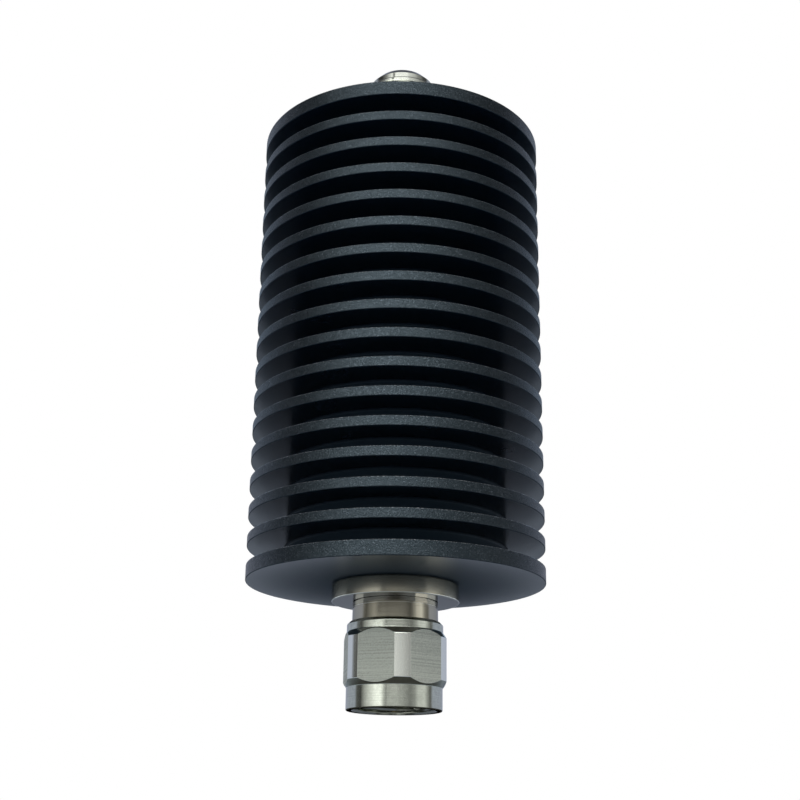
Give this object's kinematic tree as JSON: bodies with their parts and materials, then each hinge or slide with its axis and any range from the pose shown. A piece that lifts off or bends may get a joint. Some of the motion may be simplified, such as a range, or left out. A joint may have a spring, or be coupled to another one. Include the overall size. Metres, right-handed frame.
{
  "type": "rf attenuator",
  "caption": "Coaxial power attenuator: a finned cylindrical heatsink with a hexagon-nut plug at one end and a threaded jack at the other.",
  "frame": {"origin": "centre of the coupling nut's front face, on the signal axis", "axes": "+Z along the signal axis from the plug to the jack, -Y towards the nearest corner of the nut at rest"},
  "size_m": [0.06, 0.06, 0.1401],
  "materials": {
    "black_anodised": "bead-blasted black anodising",
    "nickel_plate": "satin nickel plate on turned brass",
    "nickel_nut": "satin nickel plate on milled brass",
    "silver_plate": "bright silver-coloured plate",
    "gold_plate": "gold plate",
    "bare_brass": "turned brass",
    "spring_bronze": "drawn bronze",
    "white_dielectric": "turned white fluoropolymer",
    "silicone_seal": "moulded silicone",
    "bare_aluminium": "milled aluminium",
    "black_steel": "blackened steel",
    "chip_ceramic": "sintered ceramic"
  },
  "bodies": {
    "attenuator": {"heatsink_body": "black_anodised", "plug_shell": "nickel_plate", "plug_outer_contact": "silver_plate", "plug_bead": "white_dielectric", "plug_pin": "gold_plate", "plug_bead_bush": "bare_brass", "nut_retaining_ring": "spring_bronze", "nut_gasket": "silicone_seal", "jack_shell": "nickel_plate", "jack_bead": "white_dielectric", "jack_contact": "gold_plate", "jack_bead_bush": "bare_brass", "cell_base": "bare_aluminium", "cell_cover": "bare_aluminium", "cell_screws": "black_steel", "attenuator_chip": "chip_ceramic", "chip_lid": "chip_ceramic", "plug_tab": "gold_plate", "jack_tab": "gold_plate"},
    "nut": {"coupling_nut": "nickel_nut"}
  },
  "joints": [
    {"name": "nut_spin", "type": "hinge", "parent": "attenuator", "child": "nut", "pos_m": [0, 0, 0.014], "axis": [0, 0, 1], "continuous": true}
  ]
}
